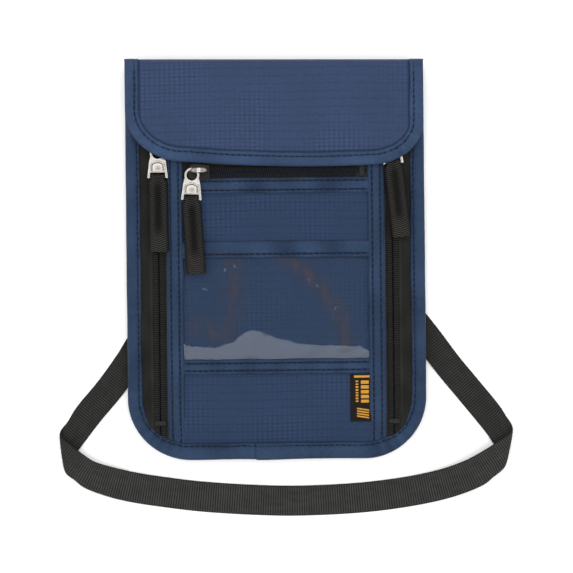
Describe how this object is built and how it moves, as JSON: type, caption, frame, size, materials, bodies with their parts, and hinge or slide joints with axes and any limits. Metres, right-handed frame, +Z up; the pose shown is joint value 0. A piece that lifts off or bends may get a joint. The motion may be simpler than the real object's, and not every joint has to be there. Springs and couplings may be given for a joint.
{
  "type": "neck pouch wallet",
  "caption": "Flat fabric travel pouch with a flap, zipped pockets, a clear window and a webbing neck strap, lying on its back.",
  "frame": {"origin": "middle of the pouch's outline, on the table that it lies on", "axes": "+Y along the pouch towards the flap's fold, +X to the right seen from the front, +Z up out of the pouch's front"},
  "size_m": [0.229, 0.2288, 0.0176],
  "materials": {
    "blue_fabric": "plain woven polyester, matt",
    "ripstop_fabric": "ripstop polyester with a raised grid, soft sheen",
    "lining_fabric": "smooth woven lining",
    "shield_fabric": "metallised lining cloth",
    "clear_vinyl": "clear flexible vinyl, glossy",
    "zip_tape": "herringbone zip tape",
    "zip_coil": "nylon coil",
    "plated_metal": "nickel-plated die casting, polished with light wear",
    "strap_webbing": "ribbed webbing",
    "tab_webbing": "coarse ribbed webbing",
    "label_weave": "woven label with gold thread bars",
    "hook_and_loop": "hook and loop tape",
    "moulded_plastic": "moulded acetal"
  },
  "bodies": {
    "pouch": {"back_panel": "ripstop_fabric", "front_base_panel": "ripstop_fabric", "upper_pocket_panel": "ripstop_fabric", "lower_panel": "ripstop_fabric", "mouth_panel": "blue_fabric", "zip_facing": "blue_fabric", "window_top_band": "blue_fabric", "window_bottom_band": "blue_fabric", "left_side_band": "blue_fabric", "right_side_band": "blue_fabric", "mouth_hem": "blue_fabric", "body_binding": "blue_fabric", "left_anchor_patch": "blue_fabric", "right_anchor_patch": "blue_fabric", "divider": "lining_fabric", "shield_lining": "shield_fabric", "clear_window": "clear_vinyl", "left_zip_inner_tape": "zip_tape", "left_zip_outer_tape": "zip_tape", "right_zip_inner_tape": "zip_tape", "right_zip_outer_tape": "zip_tape", "front_zip_lower_tape": "zip_tape", "front_zip_upper_tape": "zip_tape", "left_zip_inner_coil": "zip_coil", "left_zip_outer_coil": "zip_coil", "right_zip_inner_coil": "zip_coil", "right_zip_outer_coil": "zip_coil", "front_zip_lower_coil": "zip_coil", "front_zip_upper_coil": "zip_coil", "left_zip_stop": "plated_metal", "right_zip_stop": "plated_metal", "front_zip_stop": "plated_metal", "neck_strap": "strap_webbing", "anchor_strap": "strap_webbing", "woven_label": "label_weave", "loop_tape": "hook_and_loop", "strap_adjuster": "moulded_plastic"},
    "flap_fold": {"flap_spine": "ripstop_fabric"},
    "flap": {"flap_outer": "ripstop_fabric", "flap_lining": "lining_fabric", "flap_binding": "blue_fabric", "hook_tape": "hook_and_loop"},
    "left_slider": {"left_slider": "plated_metal"},
    "left_puller": {"left_puller": "plated_metal"},
    "left_pull_tab": {"left_pull_tab": "tab_webbing"},
    "right_slider": {"right_slider": "plated_metal"},
    "right_puller": {"right_puller": "plated_metal"},
    "right_pull_tab": {"right_pull_tab": "tab_webbing"},
    "front_slider": {"front_slider": "plated_metal"},
    "front_puller": {"front_puller": "plated_metal"},
    "front_pull_tab": {"front_pull_tab": "tab_webbing"}
  },
  "joints": [
    {"name": "flap_swing", "type": "hinge", "parent": "flap_fold", "child": "flap", "pos_m": [0, 0.0976, 0.0161], "axis": [-1, 0, 0], "range_deg": [0, 90]},
    {"name": "fold_swing", "type": "hinge", "parent": "pouch", "child": "flap_fold", "pos_m": [0, 0.0976, 0.0046], "axis": [-1, 0, 0], "range_deg": [0, 90]},
    {"name": "left_zip_slide", "type": "slide", "parent": "pouch", "child": "left_slider", "axis": [0, -1, 0], "range_m": [0, 0.129]},
    {"name": "left_puller_swivel", "type": "hinge", "parent": "left_slider", "child": "left_puller", "pos_m": [-0.058, 0.0556, 0.0122], "axis": [0, 0, 1], "range_deg": [-8, 0]},
    {"name": "left_tab_swing", "type": "hinge", "parent": "left_puller", "child": "left_pull_tab", "pos_m": [-0.058, 0.0405, 0.0122], "axis": [-1, -0.007, 0], "range_deg": [0, 90]},
    {"name": "right_zip_slide", "type": "slide", "parent": "pouch", "child": "right_slider", "axis": [0, -1, 0], "range_m": [0, 0.134]},
    {"name": "right_puller_swivel", "type": "hinge", "parent": "right_slider", "child": "right_puller", "pos_m": [0.0576, 0.0616, 0.0122], "axis": [0, 0, 1], "range_deg": [-3, 3]},
    {"name": "right_tab_swing", "type": "hinge", "parent": "right_puller", "child": "right_pull_tab", "pos_m": [0.05865, 0.04654, 0.0122], "axis": [-0.9945, -0.1045, 0], "range_deg": [0, 30]},
    {"name": "front_zip_slide", "type": "slide", "parent": "pouch", "child": "front_slider", "axis": [1, 0, 0], "range_m": [0, 0.0735]},
    {"name": "front_puller_swing", "type": "hinge", "parent": "front_slider", "child": "front_puller", "pos_m": [-0.0408, 0.0445, 0.0151], "axis": [-0.9994, 0.0349, 0], "range_deg": [0, 25]},
    {"name": "front_tab_swing", "type": "hinge", "parent": "front_puller", "child": "front_pull_tab", "pos_m": [-0.04133, 0.02941, 0.0151], "axis": [-0.9984, -0.0558, 0], "range_deg": [0, 90]}
  ],
  "couplings": [
    {"joint": "fold_swing", "follows": "flap_swing", "ratio": 1}
  ]
}
